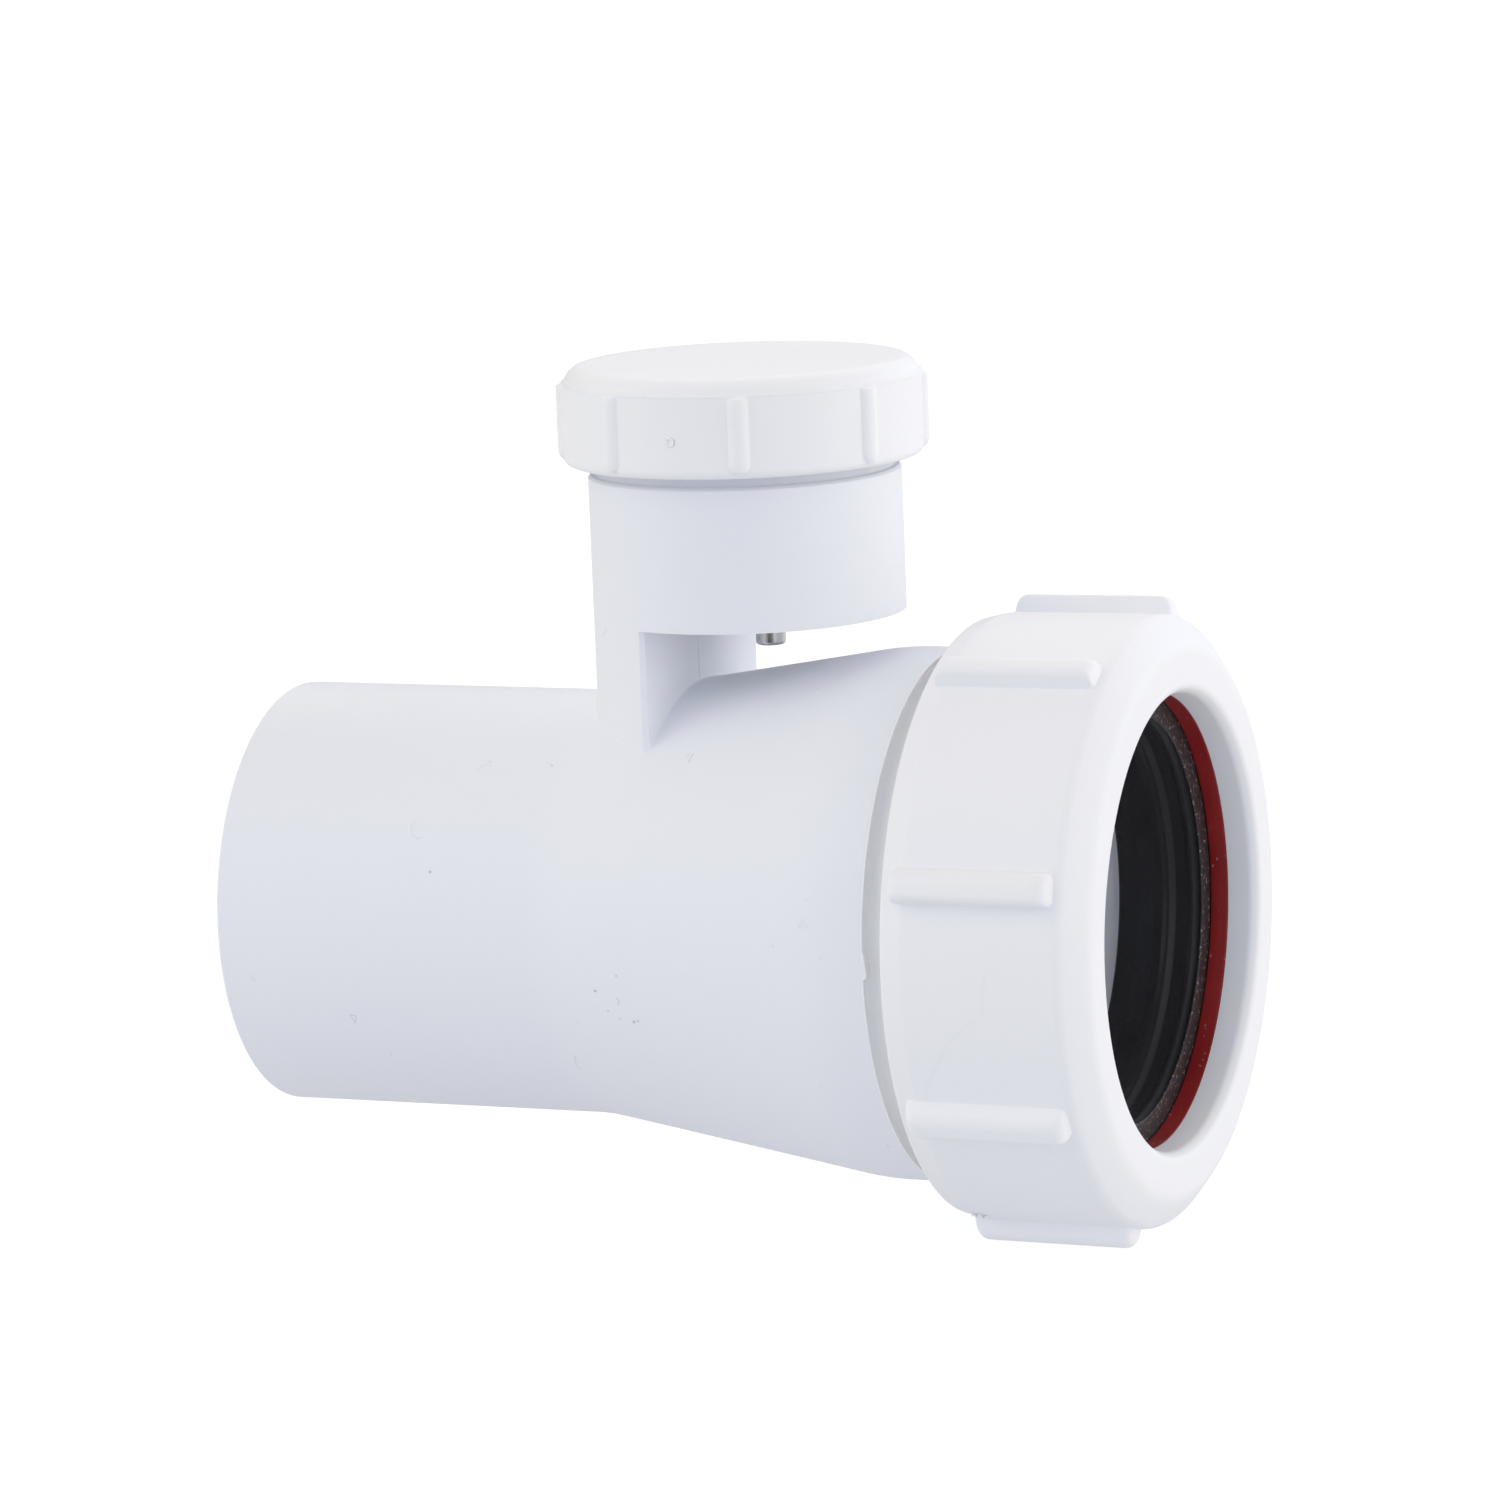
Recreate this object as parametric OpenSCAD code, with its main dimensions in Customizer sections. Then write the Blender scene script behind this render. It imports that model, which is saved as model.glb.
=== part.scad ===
// In-line anti-siphon adapter for a 40 mm class waste pipe.
// +X runs along the pipe from the plain spigot to the compression nut, +Z is up through the air valve,
// and the origin is on the pipe axis at the end of the spigot. Millimetres.

/* [Spigot] */
// Outside diameter of the plain spigot
spigot_od = 41; // [40.6:0.1:41.4]
// Bore of the spigot
spigot_bore = 37; // [36:0.5:37.4]
// Length of the straight spigot before the body flares
spigot_len = 34; // [31:0.5:36]

/* [Socket] */
// Outside diameter of the flared socket
socket_od = 50.8; // [50:0.2:52]
// Where the flare reaches the socket's full diameter
flare_end = 63.2; // [62.6:0.2:64]
// Where the socket's shoulder stands behind the nut
shoulder_x = 68.7; // [68.2:0.1:69.2]
// Root diameter of the thread that carries the nut
nut_thread_root = 48; // [47.8:0.1:48.4]
// Bore that the incoming pipe slides into
socket_bore = 43.6; // [43.2:0.1:43.8]
// Where the incoming pipe meets its stop
pipe_stop_x = 57; // [54:0.5:60]
// Mouth end of the socket, under the seal's flange
socket_end = 83.2; // [82.6:0.1:83.4]

/* [Compression nut] */
// Outside diameter of the nut's barrel
nut_od = 57.9; // [57.1:0.2:58.9]
// Rear face of the nut
nut_rear = 71.5; // [71.2:0.1:72.4]
// Front face of the nut
nut_front = 91.3; // [91.2:0.1:92]
// Bore of the nut's front lip, which the pipe passes through
nut_mouth = 43; // [42.6:0.1:43.2]
// Root diameter of the nut's inside thread
nut_inside = 51.6; // [51.3:0.1:52]
// Number of grip ribs
nut_ribs = 8; // [6:1:10]
// Width of a grip rib
nut_rib_w = 3.5; // [2.9:0.2:4.3]
// Height of a grip rib above the barrel
nut_rib_h = 1.85; // [1.05:0.1:2.05]
// Angle of the first rib from the top, towards -Y
nut_rib_phase = 29; // [0:0.2:45]

/* [Seal and slip ring] */
// Inside diameter of the relaxed rubber seal
seal_bore = 38.6; // [38:0.1:39.4]
// Front face of the seal, against the slip ring
seal_front = 86.35; // [86:0.05:86.35]
// Thickness of the slip ring
slip_t = 1.75; // [1.5:0.05:1.75]

/* [Air valve housing] */
// Distance of the valve housing's axis from the spigot end
valve_x = 48.3; // [48.1:0.1:48.6]
// Outside diameter of the valve housing
valve_od = 29.9; // [29.5:0.1:30.2]
// Bore of the valve chamber
chamber_bore = 25.4; // [24.8:0.1:25.6]
// Underside of the chamber's floor
floor_z = 28.74; // [28.5:0.02:29]
// Thickness of the chamber's floor
floor_t = 2; // [1.6:0.1:2.2]
// Shoulder of the housing, where the threaded neck starts
neck_z = 42.5; // [42:0.1:42.6]
// Top rim of the threaded neck
neck_top = 49.4; // [49.2:0.1:49.4]
// Root diameter of the neck's thread
neck_root = 28.4; // [28.2:0.1:28.6]
// Outer face of the air duct that joins the chamber to the pipe
duct_face = 43.05; // [42.8:0.05:43.1]
// Wall of the air duct under the chamber
duct_wall = 1.85; // [1.6:0.05:1.9]

/* [Valve cap] */
// Outside diameter of the cap's skirt
cap_od = 34.3; // [34:0.1:35]
// Lower edge of the cap
cap_z = 43.55; // [43.5:0.05:44]
// Edge between the skirt and the rounded shoulder of the top
cap_bevel_z = 51.35; // [51.25:0.05:51.45]
// Flat top of the cap
cap_top = 52.9; // [52.8:0.1:53.4]
// Diameter where the shoulder would meet the top without its rounding
cap_top_d = 33.1; // [32.9:0.1:33.3]
// Root diameter of the cap's inside thread
cap_inside = 30.5; // [30.3:0.1:30.7]
// Number of grip ribs
cap_ribs = 8; // [6:1:10]
// Angle of the first rib from -Y, towards +X
cap_rib_phase = 21.2; // [0:0.2:45]

/* [Valve] */
// Distance of the valve seat's axis from the spigot end
seat_x = 50.3; // [50.2:0.1:50.5]
// Diameter of the air inlet inside the seat
seat_bore = 11.2; // [10.6:0.2:11.4]
// Height of the seat's lip above the floor
seat_h = 1.2; // [1:0.1:1.3]
// Diameter of the rubber sealing washer
valve_rubber_d = 16; // [15.4:0.2:16.2]
// Diameter of the stainless guide pin
pin_d = 2.9; // [2.8:0.05:3]
// Lower end of the pin, with the valve shut
pin_bottom = 25.6; // [25.3:0.1:25.8]
// Upper end of the pin, with the valve shut
pin_top = 47.1; // [46.8:0.1:47.1]

/* [Hidden] */
$fn = 96;
eps = 0.02;

floor_top = floor_z + floor_t;
seat_z = floor_top + seat_h;
rubber_z = seat_z + 0.02;
guide_r = pin_d / 2 + 0.07;
slip_rear = seal_front + 0.05;
lip_rear = slip_rear + slip_t + 0.05;
cap_plate_z = 50.9;
cap_rib_r = 1.4;
wall_in_x = duct_face - duct_wall;

// ---- profile helpers: each point is [x, y, r], and r rounds that corner with short chords
function _u(v) = v / norm(v);
function _arc(a, b, c, r, n) =
    let (u = _u(a - b), v = _u(c - b), h = acos(max(-1, min(1, u * v))) / 2,
         o = b + _u(u + v) * r / sin(h), p = b + u * r / tan(h), q = b + v * r / tan(h),
         a0 = atan2(p[1] - o[1], p[0] - o[0]), a1 = atan2(q[1] - o[1], q[0] - o[0]),
         d = (a1 - a0 + 900) % 360 - 180)
    [for (i = [0:n]) o + r * [cos(a0 + d * i / n), sin(a0 + d * i / n)]];
function _p(q) = [q[0], q[1]];
function soft(pts, n = 6) = [
    for (i = [0:len(pts) - 1])
        let (k = len(pts), a = _p(pts[(i + k - 1) % k]), b = _p(pts[i]), c = _p(pts[(i + 1) % k]))
        each (len(pts[i]) > 2 && pts[i][2] > 0 ? _arc(a, b, c, pts[i][2], n) : [b])
];

// turns a profile of [radius, x] points about the pipe axis
module turned_x(pts, n = 6) rotate([0, 90, 0]) rotate_extrude() polygon(soft(pts, n));
// turns a profile of [radius, z] points about a vertical axis at x
module turned_z(x, pts, n = 6) translate([x, 0, 0]) rotate_extrude() polygon(soft(pts, n));

// ---- body: one moulding with spigot, flare, socket, duct, valve chamber and threaded neck
module pipe_skin() turned_x([
    [0, 0], [spigot_od / 2, 0, 0.25], [spigot_od / 2, spigot_len, 18], [socket_od / 2, flare_end, 25],
    [socket_od / 2, shoulder_x, 0.3], [nut_thread_root / 2, shoulder_x, 0.3],
    [nut_thread_root / 2, socket_end, 0.35], [0, socket_end]
], 6);

module pipe_bore() turned_x([
    [0, -1], [spigot_bore / 2 + 0.6 + 1, -1], [spigot_bore / 2, 0.6], [spigot_bore / 2, spigot_len + 2],
    [spigot_bore / 2 + 1.8, pipe_stop_x], [socket_bore / 2, pipe_stop_x + 0.4],
    [socket_bore / 2, 77.5], [socket_bore / 2 + 0.5, 77.9], [23.15, socket_end - 0.5], [23.5, socket_end], [23.5, socket_end + 1],
    [0, socket_end + 1]
]);

module housing_skin() {
    difference() {
        union() {
            translate([valve_x, 0, 14]) cylinder(d = valve_od, h = neck_z - 0.25 - 14);
            turned_z(valve_x, [[0, neck_z - 0.25], [valve_od / 2, neck_z - 0.25], [valve_od / 2 - 0.25, neck_z], [neck_root / 2, neck_z, 0.2],
                               [neck_root / 2, neck_top - 0.4], [neck_root / 2 - 0.4, neck_top], [0, neck_top]], 3);
        }
        // open air gap under the chamber's floor, with narrow flats on the duct's two upright edges
        linear_extrude(height = floor_z) polygon([
            [duct_face, 13.5], [duct_face - 3.76, 16.06], [80, 16.06], [80, -16.06], [duct_face - 3.76, -16.06], [duct_face, -13.5]
        ]);
    }
}

module chamber_space() {
    // valve chamber, open at the neck
    translate([valve_x, 0, floor_top]) cylinder(d = chamber_bore, h = 30);
    turned_z(valve_x, [[0, neck_top - 0.6], [chamber_bore / 2 - 0.1, neck_top - 0.6], [chamber_bore / 2 + 0.5, neck_top], [chamber_bore / 2 + 0.5, neck_top + 1], [0, neck_top + 1]]);
    // air duct down into the pipe
    intersection() {
        translate([valve_x, 0, 8]) cylinder(d = chamber_bore, h = floor_top - 8 + 1);
        translate([wall_in_x - 30, -20, 8]) cube([30, 40, floor_top - 8 + 1]);
    }
}

module inlet() difference() {
    // ring-shaped air inlet round the guide, crossed by three webs
    translate([seat_x, 0, floor_z - 1]) cylinder(d = seat_bore, h = floor_t + seat_h + 2);
    translate([seat_x, 0, floor_z - 2]) cylinder(r = 2.7, h = floor_t + 2);
    for (a = [0, 120, 240]) translate([seat_x, 0, floor_z - 2]) rotate([0, 0, a])
        translate([0, -0.65, 0]) cube([8, 1.3, floor_t + 2 - 0.4]);
}

module body() color([0.86, 0.87, 0.91]) difference() {
    union() {
        difference() {
            union() { pipe_skin(); housing_skin(); }
            pipe_bore();
            chamber_space();
        }
        // raised seat lip
        turned_z(seat_x, [[0, floor_top - 0.5], [7.4, floor_top - 0.5], [7.4, floor_top], [6.7, seat_z - 0.25], [6.45, seat_z], [0, seat_z]]);
    }
    inlet();
    translate([seat_x, 0, floor_z - 1]) cylinder(r = guide_r, h = 6);
}

// ---- compression nut
module nut_rib() {
    r0 = nut_od / 2 - 0.8;
    r1 = nut_od / 2 + nut_rib_h;
    w = nut_rib_w / 2;
    intersection() {
        // side view, in x and radius
        rotate([90, 0, 0]) linear_extrude(height = nut_rib_w + 2, center = true)
            polygon(soft([[nut_rear + 1.1, r0], [nut_rear + 1.55, r1, 0.8], [nut_front - 3.25, r1, 1.2], [nut_front - 2.8, r0]], 5));
        // end view, across the rib
        translate([nut_rear, 0, 0]) rotate([90, 0, 90]) linear_extrude(height = nut_front - nut_rear)
            polygon(soft([[-w - 0.1, r0], [w + 0.1, r0], [w - 0.15, r1, 0.9], [-w + 0.15, r1, 0.9]], 5));
    }
}

module compression_nut() color([0.92, 0.925, 0.94]) {
    R = nut_od / 2;
    turned_x([
        [nut_inside / 2 + 0.6, nut_rear], [R - 0.65, nut_rear, 0.4], [R - 0.12, nut_rear + 2.2, 2], [R, nut_front - 2.2, 1.6],
        [26, nut_front, 2.2], [nut_mouth / 2, nut_front, 0.9], [nut_mouth / 2, lip_rear],
        [25.15, lip_rear, 0.2], [25.15, socket_end + 0.5], [nut_inside / 2, socket_end + 0.1], [nut_inside / 2, nut_rear + 0.6]
    ], 8);
    for (i = [0:nut_ribs - 1]) rotate([nut_rib_phase + i * 360 / nut_ribs, 0, 0]) nut_rib();
}

// ---- slip ring between nut and seal
module slip_ring() color([0.55, 0.07, 0.08]) turned_x([
    [21.5, slip_rear], [24.8, slip_rear, 0.15], [24.8, slip_rear + slip_t, 0.15], [21.5, slip_rear + slip_t]
], 3);

// ---- rubber pipe seal: flange outside the socket, tapered tail inside it, two inner ridges
module pipe_seal() color([0.09, 0.09, 0.1]) {
    r = seal_bore / 2;
    turned_x([
        [r, 77.7], [21.2, 77.7, 0.3], [22.3, 78.3], [22.95, socket_end - 0.3], [22.95, socket_end + 0.1], [24.7, socket_end + 0.1, 0.3], [24.7, seal_front, 0.3],
        [r + 0.05, seal_front, 0.12], [r + 0.05, 86.05, 0.1], [r + 0.5, 85.8, 0.2], [r, 85.3, 0.25], [r + 0.6, 84.7, 0.3], [r + 0.6, 83.9, 0.3],
        [r, 83.3, 0.25], [r + 0.55, 82.7, 0.3], [r + 0.55, 81.9, 0.3], [r, 81.4, 0.25]
    ], 4);
}

// ---- screw cap of the valve chamber
module cap_rib() intersection() {
    union() {
        translate([0, 1, cap_z + 1.4]) cylinder(r = cap_rib_r, h = cap_bevel_z - cap_z - 1.4, $fn = 64);
        translate([0, 1, cap_z + 0.45]) cylinder(r1 = cap_rib_r - 0.8, r2 = cap_rib_r, h = 0.95, $fn = 64);
    }
    translate([-3, -3, cap_z]) cube([6, 3.6, 12]);
}

module valve_cap() color([0.92, 0.925, 0.94]) {
    R = cap_od / 2;
    turned_z(valve_x, [
        [0, cap_top], [cap_top_d / 2, cap_top, 1.7], [R - 0.2, cap_bevel_z + 0.12], [R - 0.06, cap_bevel_z], [R, cap_bevel_z - 0.1], [R, cap_z, 0.8],
        [cap_inside / 2 + 0.3, cap_z], [cap_inside / 2, cap_z + 0.3], [cap_inside / 2, cap_plate_z], [0, cap_plate_z]
    ], 6);
    translate([valve_x, 0, 0]) for (i = [0:cap_ribs - 1]) rotate([0, 0, cap_rib_phase + i * 360 / cap_ribs])
        translate([0, -R, 0]) cap_rib();
}

// ---- rubber washer between the neck's rim and the cap
module cap_washer() color([0.1, 0.1, 0.11]) turned_z(valve_x, [
    [12.8, neck_top + 0.05], [14.9, neck_top + 0.05, 0.2], [14.9, cap_plate_z - 0.05, 0.2], [12.8, cap_plate_z - 0.05]
], 3);

// ---- lifting valve: carrier disc, sealing washer and guide pin
module valve_disc() color([0.9, 0.9, 0.92]) difference() {
    turned_z(seat_x, [
        [0, seat_z - 0.65], [3.3, seat_z - 0.65], [3.7, seat_z - 0.35], [3.7, seat_z - 0.05], [3, seat_z + 0.05], [3, rubber_z + 1.2],
        [7.6, rubber_z + 1.2, 0.3], [7.6, rubber_z + 2.4, 0.5], [3.4, rubber_z + 3, 0.8], [2.6, rubber_z + 6.2, 0.5], [0, rubber_z + 6.2]
    ], 3);
    translate([seat_x, 0, seat_z - 2]) cylinder(d = pin_d, h = 12);
}

module valve_rubber() color([0.12, 0.12, 0.13]) turned_z(seat_x, [
    [3.02, rubber_z], [valve_rubber_d / 2, rubber_z, 0.25], [valve_rubber_d / 2, rubber_z + 1.18, 0.25], [3.02, rubber_z + 1.18]
], 3);

module guide_pin() color([0.62, 0.61, 0.6]) turned_z(seat_x, [
    [0, pin_bottom], [pin_d / 2, pin_bottom, 0.3], [pin_d / 2, pin_top, 0.3], [0, pin_top]
], 4);

body();
compression_nut();
slip_ring();
pipe_seal();
valve_cap();
cap_washer();
valve_disc();
valve_rubber();
guide_pin();
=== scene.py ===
"""Looks of the in-line anti-siphon adapter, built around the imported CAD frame. Lengths are in millimetres until a mesh is made."""

import bpy
import math
import numpy as np
from mathutils import Matrix, Vector


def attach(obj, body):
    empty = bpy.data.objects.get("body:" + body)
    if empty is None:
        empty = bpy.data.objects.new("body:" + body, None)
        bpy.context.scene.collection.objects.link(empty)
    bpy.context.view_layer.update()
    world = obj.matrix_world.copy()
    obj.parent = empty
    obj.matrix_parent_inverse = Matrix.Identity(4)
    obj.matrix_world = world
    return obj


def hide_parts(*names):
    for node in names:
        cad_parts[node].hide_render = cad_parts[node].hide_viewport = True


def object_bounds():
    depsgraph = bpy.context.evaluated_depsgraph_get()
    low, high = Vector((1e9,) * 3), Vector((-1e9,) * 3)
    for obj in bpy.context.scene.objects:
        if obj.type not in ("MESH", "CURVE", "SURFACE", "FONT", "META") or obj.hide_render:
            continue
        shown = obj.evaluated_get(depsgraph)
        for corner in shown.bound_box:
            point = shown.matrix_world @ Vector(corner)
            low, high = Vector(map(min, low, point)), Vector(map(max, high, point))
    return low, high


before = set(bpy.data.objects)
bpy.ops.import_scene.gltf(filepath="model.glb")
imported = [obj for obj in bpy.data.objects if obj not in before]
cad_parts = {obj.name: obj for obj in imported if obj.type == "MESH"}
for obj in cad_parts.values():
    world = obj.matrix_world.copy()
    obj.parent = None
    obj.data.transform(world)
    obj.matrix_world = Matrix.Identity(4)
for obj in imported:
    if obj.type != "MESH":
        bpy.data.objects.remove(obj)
cad_low, cad_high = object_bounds()
MM = 0.001
TAU = 2 * math.pi


# ---------------------------------------------------------------- profiles and meshes
def soft(pts, n=6):
    """Points (a, b) or (a, b, r). A corner with r becomes an arc of n chords."""
    out, k = [], len(pts)
    for i, p in enumerate(pts):
        if len(p) < 3 or p[2] <= 0:
            out.append((float(p[0]), float(p[1])))
            continue
        a, b, c = (np.array(q[:2], float) for q in (pts[i - 1], p, pts[(i + 1) % k]))
        u, v = (a - b) / np.linalg.norm(a - b), (c - b) / np.linalg.norm(c - b)
        h = math.acos(max(-1.0, min(1.0, float(u @ v)))) / 2
        o = b + (u + v) / np.linalg.norm(u + v) * p[2] / math.sin(h)
        s, e = b + u * p[2] / math.tan(h), b + v * p[2] / math.tan(h)
        a0, a1 = math.atan2(*(s - o)[::-1]), math.atan2(*(e - o)[::-1])
        d = (a1 - a0 + 3 * math.pi) % TAU - math.pi
        for j in range(n + 1):
            t = a0 + d * j / n
            out.append((o[0] + p[2] * math.cos(t), o[1] + p[2] * math.sin(t)))
    return out


def step(t):
    t = np.clip(t, 0, 1)
    return t * t * (3 - 2 * t)


def noise3(p, scale, seed=0):
    """Smooth value noise from -1 to 1 at points p (n, 3)."""
    q = np.asarray(p, float) / scale + 1000.0
    i = np.floor(q).astype(np.int64)
    f = q - i
    f = f * f * (3 - 2 * f)
    out = np.zeros(len(q))
    for dx in (0, 1):
        for dy in (0, 1):
            for dz in (0, 1):
                h = (i[:, 0] + dx) * 374761393 + (i[:, 1] + dy) * 668265263 + (i[:, 2] + dz) * 2147483647 + seed * 974711
                h = (h ^ (h >> 13)) * 1274126177
                h = ((h ^ (h >> 16)) & 0xFFFF) / 32767.5 - 1
                w = (f[:, 0] if dx else 1 - f[:, 0]) * (f[:, 1] if dy else 1 - f[:, 1]) * (f[:, 2] if dz else 1 - f[:, 2])
                out += w * h
    return out


def mesh_object(name, verts, faces, body, material, replaces=(), angle=38):
    """verts in mm. Turns the faces outwards and rides the piece on a body."""
    verts = np.asarray(verts, float)
    tri = np.array([(f[0], f[k], f[k + 1]) for f in faces for k in range(1, len(f) - 1)])
    a, b, c = verts[tri[:, 0]], verts[tri[:, 1]], verts[tri[:, 2]]
    if np.einsum("ij,ij->i", a, np.cross(b, c)).sum() < 0:
        faces = [tuple(reversed(f)) for f in faces]
    me = bpy.data.meshes.new(name)
    me.from_pydata((verts * MM).tolist(), [], [tuple(map(int, f)) for f in faces])
    me.update()
    me.polygons.foreach_set("use_smooth", np.ones(len(me.polygons), bool))
    me.set_sharp_from_angle(angle=math.radians(angle))
    me.materials.append(material)
    ob = bpy.data.objects.new(name, me)
    bpy.context.scene.collection.objects.link(ob)
    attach(ob, body)
    if replaces:
        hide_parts(*replaces)
    return ob


def grid_faces(nu, nv, wrap_u=True, wrap_v=True):
    i, j = np.meshgrid(np.arange(nu if wrap_u else nu - 1), np.arange(nv if wrap_v else nv - 1), indexing="ij")
    i, j = i.ravel(), j.ravel()
    i2, j2 = (i + 1) % nu, (j + 1) % nv
    return [tuple(q) for q in np.stack([i * nv + j, i2 * nv + j, i2 * nv + j2, i * nv + j2], 1).tolist()]


def refine(loop, longest, closed=True):
    """Adds points so that no side of the loop is longer than longest."""
    out = []
    n = len(loop)
    for k in range(n if closed else n - 1):
        a, b = np.array(loop[k]), np.array(loop[(k + 1) % n])
        m = max(1, int(math.ceil(np.linalg.norm(b - a) / longest)))
        out += [tuple(a + (b - a) * t / m) for t in range(m)]
    return out if closed else out + [tuple(loop[-1])]


def about_x(r, x, th):
    """th turns about +X from +Z towards -Y."""
    return np.stack([x + 0 * th, -r * np.sin(th), r * np.cos(th)], -1)


def about_z(x0, r, z, a):
    """a turns about +Z from -Y towards +X."""
    return np.stack([x0 + r * np.sin(a), -r * np.cos(a), z + 0 * a], -1)


# ---------------------------------------------------------------- materials
def material(name):
    m = bpy.data.materials.new(name)
    m.use_nodes = True
    nt = m.node_tree
    nt.nodes.clear()
    out = nt.nodes.new("ShaderNodeOutputMaterial")
    p = nt.nodes.new("ShaderNodeBsdfPrincipled")
    nt.links.new(p.outputs[0], out.inputs[0])
    return m, nt, p


def node(nt, kind, **settings):
    n = nt.nodes.new(kind)
    for k, v in settings.items():
        if k.startswith("in_"):
            key = k[3:].replace("_", " ")
            n.inputs[key].default_value = v
        else:
            setattr(n, k, v)
    return n


def place(nt):
    return node(nt, "ShaderNodeTexCoord").outputs["Object"]


def noise(nt, where, scale, detail=2.0, rough=0.5):
    n = node(nt, "ShaderNodeTexNoise", in_Scale=scale, in_Detail=detail, in_Roughness=rough)
    nt.links.new(where, n.inputs["Vector"])
    return n.outputs["Fac"]


def math_node(nt, op, a, b=None, c=None, clamp=False):
    n = node(nt, "ShaderNodeMath", operation=op, use_clamp=clamp)
    for k, v in enumerate((a, b, c)):
        if v is None:
            continue
        if isinstance(v, (int, float)):
            n.inputs[k].default_value = v
        else:
            nt.links.new(v, n.inputs[k])
    return n.outputs[0]


def ramp(nt, fac, stops):
    n = node(nt, "ShaderNodeValToRGB")
    e = n.color_ramp.elements
    while len(e) < len(stops):
        e.new(0.5)
    for k, (pos, col) in enumerate(stops):
        e[k].position = pos
        e[k].color = col if len(col) == 4 else (*col, 1)
    nt.links.new(fac, n.inputs[0])
    return n.outputs[0]


def mix(nt, fac, a, b):
    n = node(nt, "ShaderNodeMix", data_type="RGBA")
    for key, kind, v in (("Factor", "VALUE", fac), ("A", "RGBA", a), ("B", "RGBA", b)):
        s = [q for q in n.inputs if q.name == key and q.type == kind][0]
        if isinstance(v, (int, float)):
            s.default_value = v
        elif isinstance(v, tuple):
            s.default_value = v if len(v) == 4 else (*v, 1)
        else:
            nt.links.new(v, s)
    return [o for o in n.outputs if o.type == "RGBA"][0]


def bump(nt, p, height, distance, strength=1.0, after=None):
    b = node(nt, "ShaderNodeBump")
    b.inputs["Strength"].default_value = strength
    b.inputs["Distance"].default_value = distance
    nt.links.new(height, b.inputs["Height"])
    if after is not None:
        nt.links.new(after, b.inputs["Normal"])
    nt.links.new(b.outputs[0], p.inputs["Normal"])
    return b.outputs[0]


def vector_node(nt, op, a, b=None):
    n = node(nt, "ShaderNodeVectorMath", operation=op)
    for k, v in enumerate((a, b)):
        if v is None:
            continue
        if isinstance(v, tuple):
            n.inputs[k].default_value = v
        else:
            nt.links.new(v, n.inputs[k])
    return n.outputs["Value"] if op in ("DOT_PRODUCT", "DISTANCE", "LENGTH") else n.outputs["Vector"]


def marks_and_painted_shade(nt, where, lines, dots):
    """Share of small marks on a surface: scratches and lines of painted shade as chains of segments, and specks as
    dots, in mm on the part.
    """
    total = None

    def add(distance, half, strength):
        nonlocal total
        n = node(nt, "ShaderNodeMapRange", interpolation_type="SMOOTHSTEP")
        nt.links.new(distance, n.inputs["Value"])
        n.inputs["From Min"].default_value = half * 1.5 * MM
        n.inputs["From Max"].default_value = half * 0.5 * MM
        n.inputs["To Min"].default_value = 0.0
        n.inputs["To Max"].default_value = strength
        total = n.outputs[0] if total is None else math_node(nt, "MAXIMUM", total, n.outputs[0])

    for half, strength, pts in lines:
        for a, b in zip(pts[:-1], pts[1:]):
            a, b = np.array(a) * MM, np.array(b) * MM
            ab = b - a
            rel = vector_node(nt, "SUBTRACT", where, tuple(map(float, a)))
            t = math_node(nt, "MULTIPLY", vector_node(nt, "DOT_PRODUCT", rel, tuple(map(float, ab / (ab @ ab)))), 1.0, clamp=True)
            along = node(nt, "ShaderNodeVectorMath", operation="SCALE")
            along.inputs[0].default_value = tuple(map(float, ab))
            nt.links.new(t, along.inputs["Scale"])
            add(vector_node(nt, "DISTANCE", rel, along.outputs[0]), half, strength)
    for half, strength, at in dots:
        add(vector_node(nt, "DISTANCE", where, tuple(float(q) * MM for q in at)), half, strength)
    return total


def rise(nt, value, start, end):
    """0 at start and 1 at end, smooth between, in mm on the part."""
    n = node(nt, "ShaderNodeMapRange", interpolation_type="SMOOTHSTEP")
    nt.links.new(value, n.inputs["Value"])
    n.inputs["From Min"].default_value = start * MM
    n.inputs["From Max"].default_value = end * MM
    return n.outputs[0]


def plastic(name, light, dark, rough=(0.4, 0.52), grain=0.000006, lines=(), dots=(), pale=None):
    """Satin moulded plastic: faint cloudy tone, uneven sheen, fine moulded grain and a slow waviness."""
    m, nt, p = material(name)
    where = place(nt)
    cloud = noise(nt, where, 38.0, 3.0, 0.55)
    fleck = noise(nt, where, 420.0, 2.0, 0.6)
    tone = math_node(nt, "MULTIPLY_ADD", fleck, 0.25, math_node(nt, "MULTIPLY", cloud, 0.75))
    col = ramp(nt, tone, [(0.32, dark), (0.68, light)])
    if pale:
        # painted light: over a stretch along the pipe the base colour is paler, standing in for light that comes
        # through the wall in the gap before the nut
        x = node(nt, "ShaderNodeSeparateXYZ")
        nt.links.new(where, x.inputs[0])
        share = math_node(nt, "MULTIPLY", rise(nt, x.outputs[0], pale[0] - 0.3, pale[0]), rise(nt, x.outputs[0], pale[1] + 0.6, pale[1]))
        col = mix(nt, share, col, pale[2])
    if lines or dots:
        # darker marks: scratches and specks, and on the body and cap lines of painted shade
        col = mix(nt, marks_and_painted_shade(nt, where, lines, dots), col, (0.2, 0.2, 0.21))
    nt.links.new(col, p.inputs["Base Color"])
    r = ramp(nt, cloud, [(0.3, (rough[0],) * 3), (0.7, (rough[1],) * 3)])
    nt.links.new(r, p.inputs["Roughness"])
    p.inputs["IOR"].default_value = 1.49
    p.inputs["Specular IOR Level"].default_value = 0.36
    fine = noise(nt, where, 3600.0, 2.0, 0.6)
    wave = noise(nt, where, 130.0, 1.0, 0.5)
    b1 = bump(nt, p, wave, 0.00002, 0.5)
    bump(nt, p, fine, grain, 0.6, after=b1)
    return m
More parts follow.
